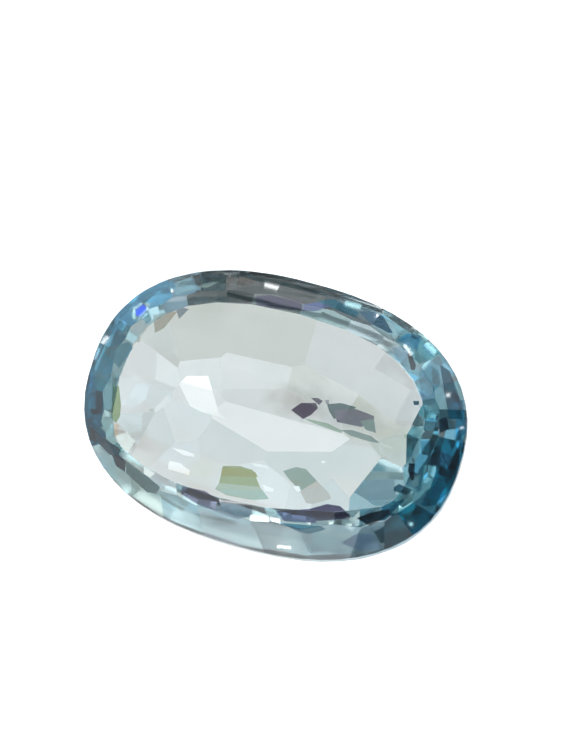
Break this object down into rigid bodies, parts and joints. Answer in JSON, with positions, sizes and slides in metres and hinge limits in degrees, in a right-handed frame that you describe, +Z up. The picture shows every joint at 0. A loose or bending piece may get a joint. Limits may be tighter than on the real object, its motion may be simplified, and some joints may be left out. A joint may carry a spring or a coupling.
{
  "type": "faceted oval zircon",
  "caption": "Loose oval gemstone with a wide flat table, a narrow faceted rim and a shallow stepped underside, lying face up on one lower facet.",
  "frame": {"origin": "middle of the stone's box, on the surface that it lies on", "axes": "+X along the stone's length, +Z up, away from the surface; the table faces up and 10 degrees towards -Y"},
  "size_m": [0.012, 0.0086, 0.0041],
  "materials": {
    "zircon": "polished"
  },
  "bodies": {
    "root": {"zircon": "zircon"}
  },
  "joints": []
}
